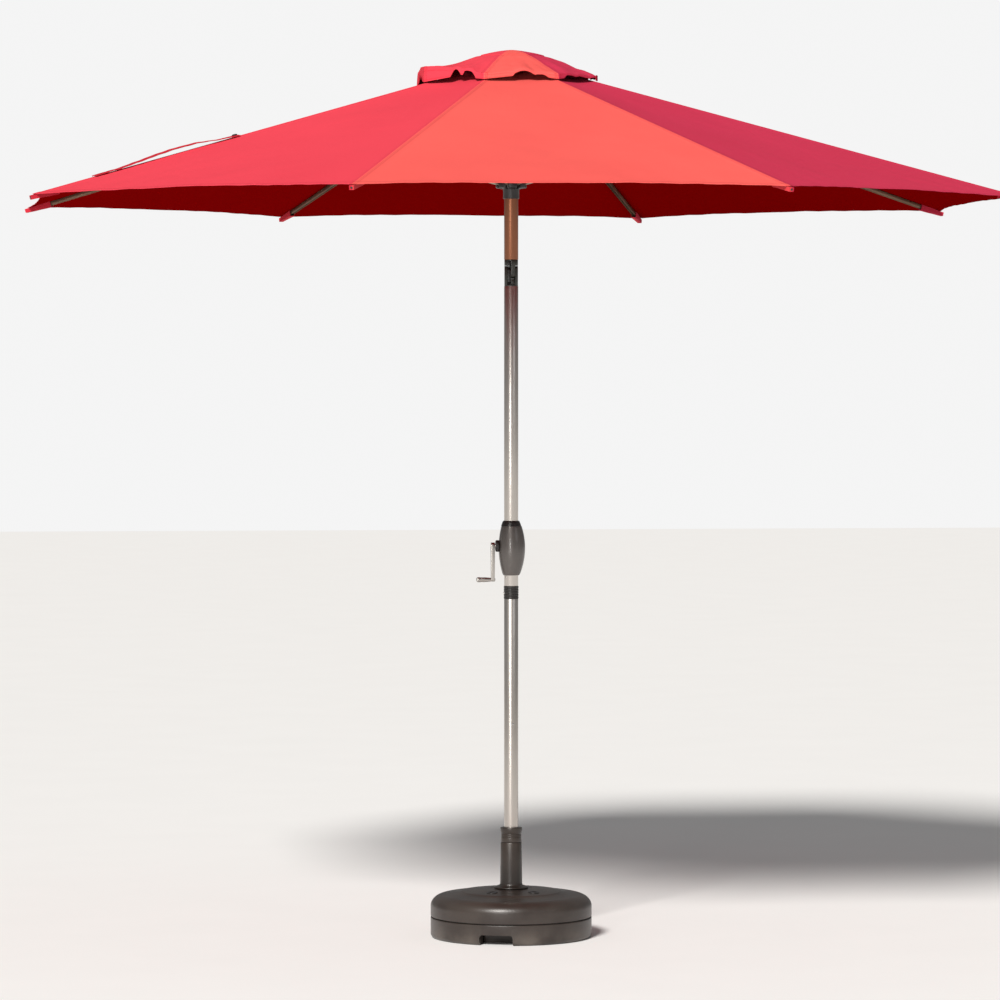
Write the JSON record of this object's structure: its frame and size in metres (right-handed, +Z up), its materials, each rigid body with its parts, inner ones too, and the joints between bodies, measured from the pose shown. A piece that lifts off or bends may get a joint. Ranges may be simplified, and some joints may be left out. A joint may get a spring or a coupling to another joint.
{
  "type": "patio umbrella",
  "caption": "Free-standing garden parasol: crank-raised folding canopy with a vent cap, tilting mast and a round weighted base.",
  "frame": {"origin": "middle of the flat underside of the base, under the mast", "axes": "+Z up along the mast; the crank is on the -X side; the canopy tilts towards -Y"},
  "size_m": [2.5926, 2.5926, 2.389],
  "materials": {
    "base_plastic": "satin moulded",
    "ballast": "loose fill",
    "grip_rubber": "matte",
    "pole_metal": "bright satin",
    "upper_pole_metal": "bright satin",
    "bright_steel": "bright",
    "dark_plastic": "satin",
    "housing_plastic": "satin metallic paint",
    "crank_metal": "satin",
    "knob_plastic": "satin",
    "tilt_joint": "satin",
    "rib_metal": "painted",
    "stretcher_metal": "painted",
    "canopy_cloth": "woven",
    "strap_cloth": "woven"
  },
  "bodies": {
    "base": {"base_lower": "base_plastic", "base_upper": "base_plastic", "base_ballast": "ballast", "base_stem": "base_plastic", "stem_flange": "base_plastic", "grip_sleeve": "grip_rubber"},
    "collar": {"stem_collar": "base_plastic"},
    "mast": {"lower_pole": "pole_metal", "pole_rivet": "bright_steel", "pole_coupler": "dark_plastic", "mid_pole": "pole_metal", "housing_front": "housing_plastic", "housing_back": "housing_plastic", "housing_ring": "dark_plastic", "housing_screw_low": "bright_steel", "housing_screw_high": "bright_steel", "crank_bushing": "dark_plastic", "tilt_fork": "tilt_joint", "tilt_pin": "bright_steel"},
    "snap": {"snap_button": "bright_steel"},
    "crank": {"crank_shaft": "bright_steel", "crank_arm": "crank_metal", "crank_pin": "bright_steel"},
    "knob": {"crank_knob": "knob_plastic"},
    "release": {"tilt_button": "dark_plastic"},
    "head": {"tilt_tongue": "tilt_joint", "upper_pole": "upper_pole_metal", "top_hub": "dark_plastic", "hub_wire": "bright_steel", "crown_cap": "dark_plastic", "vent_cap": "canopy_cloth"},
    "cord_pulley": {"pulley": "dark_plastic"},
    "slider": {"runner": "dark_plastic"},
    "rib_body_1": {"rib_1": "rib_metal", "canopy_panel_1": "canopy_cloth"},
    "rib_body_2": {"rib_2": "rib_metal", "canopy_panel_2": "canopy_cloth"},
    "rib_body_3": {"rib_3": "rib_metal", "canopy_panel_3": "canopy_cloth"},
    "rib_body_4": {"rib_4": "rib_metal", "canopy_panel_4": "canopy_cloth"},
    "rib_body_5": {"rib_5": "rib_metal", "canopy_panel_5": "canopy_cloth", "closing_strap": "strap_cloth"},
    "rib_body_6": {"rib_6": "rib_metal", "canopy_panel_6": "canopy_cloth"},
    "rib_body_7": {"rib_7": "rib_metal", "canopy_panel_7": "canopy_cloth"},
    "rib_body_8": {"rib_8": "rib_metal", "canopy_panel_8": "canopy_cloth"},
    "stretcher_body_1": {"stretcher_1": "stretcher_metal"},
    "stretcher_body_2": {"stretcher_2": "stretcher_metal"},
    "stretcher_body_3": {"stretcher_3": "stretcher_metal"},
    "stretcher_body_4": {"stretcher_4": "stretcher_metal"},
    "stretcher_body_5": {"stretcher_5": "stretcher_metal"},
    "stretcher_body_6": {"stretcher_6": "stretcher_metal"},
    "stretcher_body_7": {"stretcher_7": "stretcher_metal"},
    "stretcher_body_8": {"stretcher_8": "stretcher_metal"}
  },
  "joints": [
    {"name": "collar_turn", "type": "hinge", "parent": "base", "child": "collar", "pos_m": [0, 0, 0.2572], "axis": [0, 0, 1], "range_deg": [0, 90]},
    {"name": "mast_swivel", "type": "hinge", "parent": "base", "child": "mast", "pos_m": [0, 0, 0.0105], "axis": [0, 0, 1], "range_deg": [-180, 180]},
    {"name": "snap_press", "type": "slide", "parent": "mast", "child": "snap", "axis": [1, 0, 0], "range_m": [0, 0.0025], "stiffness_N_per_m": 800},
    {"name": "tilt", "type": "hinge", "parent": "mast", "child": "head", "pos_m": [0, 0, 1.795], "axis": [1, 0, 0], "range_deg": [0, 30]},
    {"name": "tilt_press", "type": "slide", "parent": "mast", "child": "release", "axis": [0, 1, 0], "range_m": [0, 0.004], "stiffness_N_per_m": 800},
    {"name": "canopy_fold", "type": "slide", "parent": "head", "child": "slider", "axis": [0, 0, -1], "range_m": [0, 0.8266], "deforming": ["canopy_panel_1", "canopy_panel_2", "canopy_panel_3", "canopy_panel_4", "canopy_panel_5", "canopy_panel_6", "canopy_panel_7", "canopy_panel_8", "closing_strap", "vent_cap"]},
    {"name": "rib_hinge_1", "type": "hinge", "parent": "head", "child": "rib_body_1", "pos_m": [0.03696, 0.01531, 2.34811], "axis": [-0.3827, 0.9239, 0], "range_deg": [0, 68.6]},
    {"name": "rib_hinge_2", "type": "hinge", "parent": "head", "child": "rib_body_2", "pos_m": [0.01531, 0.03696, 2.34811], "axis": [-0.9239, 0.3827, 0], "range_deg": [0, 68.6]},
    {"name": "rib_hinge_3", "type": "hinge", "parent": "head", "child": "rib_body_3", "pos_m": [-0.01531, 0.03696, 2.34811], "axis": [-0.9239, -0.3827, 0], "range_deg": [0, 68.6]},
    {"name": "rib_hinge_4", "type": "hinge", "parent": "head", "child": "rib_body_4", "pos_m": [-0.03696, 0.01531, 2.34811], "axis": [-0.3827, -0.9239, 0], "range_deg": [0, 68.6]},
    {"name": "rib_hinge_5", "type": "hinge", "parent": "head", "child": "rib_body_5", "pos_m": [-0.03696, -0.01531, 2.34811], "axis": [0.3827, -0.9239, 0], "range_deg": [0, 68.6]},
    {"name": "rib_hinge_6", "type": "hinge", "parent": "head", "child": "rib_body_6", "pos_m": [-0.01531, -0.03696, 2.34811], "axis": [0.9239, -0.3827, 0], "range_deg": [0, 68.6]},
    {"name": "rib_hinge_7", "type": "hinge", "parent": "head", "child": "rib_body_7", "pos_m": [0.01531, -0.03696, 2.34811], "axis": [0.9239, 0.3827, 0], "range_deg": [0, 68.6]},
    {"name": "rib_hinge_8", "type": "hinge", "parent": "head", "child": "rib_body_8", "pos_m": [0.03696, -0.01531, 2.34811], "axis": [0.3827, 0.9239, 0], "range_deg": [0, 68.6]},
    {"name": "stretcher_hinge_1", "type": "hinge", "parent": "rib_body_1", "child": "stretcher_body_1", "pos_m": [0.54318, 0.22499, 2.19097], "axis": [0.3827, -0.9239, 0], "range_deg": [0, 136.8]},
    {"name": "stretcher_hinge_2", "type": "hinge", "parent": "rib_body_2", "child": "stretcher_body_2", "pos_m": [0.22499, 0.54318, 2.19097], "axis": [0.9239, -0.3827, 0], "range_deg": [0, 136.8]},
    {"name": "stretcher_hinge_3", "type": "hinge", "parent": "rib_body_3", "child": "stretcher_body_3", "pos_m": [-0.22499, 0.54318, 2.19097], "axis": [0.9239, 0.3827, 0], "range_deg": [0, 136.8]},
    {"name": "stretcher_hinge_4", "type": "hinge", "parent": "rib_body_4", "child": "stretcher_body_4", "pos_m": [-0.54318, 0.22499, 2.19097], "axis": [0.3827, 0.9239, 0], "range_deg": [0, 136.8]},
    {"name": "stretcher_hinge_5", "type": "hinge", "parent": "rib_body_5", "child": "stretcher_body_5", "pos_m": [-0.54318, -0.22499, 2.19097], "axis": [-0.3827, 0.9239, 0], "range_deg": [0, 136.8]},
    {"name": "stretcher_hinge_6", "type": "hinge", "parent": "rib_body_6", "child": "stretcher_body_6", "pos_m": [-0.22499, -0.54318, 2.19097], "axis": [-0.9239, 0.3827, 0], "range_deg": [0, 136.8]},
    {"name": "stretcher_hinge_7", "type": "hinge", "parent": "rib_body_7", "child": "stretcher_body_7", "pos_m": [0.22499, -0.54318, 2.19097], "axis": [-0.9239, -0.3827, 0], "range_deg": [0, 136.8]},
    {"name": "stretcher_hinge_8", "type": "hinge", "parent": "rib_body_8", "child": "stretcher_body_8", "pos_m": [0.54318, -0.22499, 2.19097], "axis": [-0.3827, -0.9239, 0], "range_deg": [0, 136.8]},
    {"name": "crank_turn", "type": "hinge", "parent": "mast", "child": "crank", "pos_m": [0, 0, 1.058], "axis": [1, 0, 0], "range_deg": [0, 4990]},
    {"name": "knob_spin", "type": "hinge", "parent": "crank", "child": "knob", "pos_m": [0, 0, 0.967], "axis": [1, 0, 0], "continuous": true},
    {"name": "pulley_turn", "type": "hinge", "parent": "head", "child": "cord_pulley", "pos_m": [0, 0, 2.303], "axis": [1, 0, 0], "range_deg": [0, 4990]}
  ],
  "couplings": [
    {"joint": "rib_hinge_1", "follows": "canopy_fold", "rad_per_m": 1.4464},
    {"joint": "rib_hinge_2", "follows": "canopy_fold", "rad_per_m": 1.4464},
    {"joint": "rib_hinge_3", "follows": "canopy_fold", "rad_per_m": 1.4464},
    {"joint": "rib_hinge_4", "follows": "canopy_fold", "rad_per_m": 1.4464},
    {"joint": "rib_hinge_5", "follows": "canopy_fold", "rad_per_m": 1.4464},
    {"joint": "rib_hinge_6", "follows": "canopy_fold", "rad_per_m": 1.4464},
    {"joint": "rib_hinge_7", "follows": "canopy_fold", "rad_per_m": 1.4464},
    {"joint": "rib_hinge_8", "follows": "canopy_fold", "rad_per_m": 1.4464},
    {"joint": "stretcher_hinge_1", "follows": "canopy_fold", "rad_per_m": 2.887},
    {"joint": "stretcher_hinge_2", "follows": "canopy_fold", "rad_per_m": 2.887},
    {"joint": "stretcher_hinge_3", "follows": "canopy_fold", "rad_per_m": 2.887},
    {"joint": "stretcher_hinge_4", "follows": "canopy_fold", "rad_per_m": 2.887},
    {"joint": "stretcher_hinge_5", "follows": "canopy_fold", "rad_per_m": 2.887},
    {"joint": "stretcher_hinge_6", "follows": "canopy_fold", "rad_per_m": 2.887},
    {"joint": "stretcher_hinge_7", "follows": "canopy_fold", "rad_per_m": 2.887},
    {"joint": "stretcher_hinge_8", "follows": "canopy_fold", "rad_per_m": 2.887},
    {"joint": "crank_turn", "follows": "canopy_fold", "rad_per_m": 105.26},
    {"joint": "pulley_turn", "follows": "canopy_fold", "rad_per_m": 105.26}
  ]
}
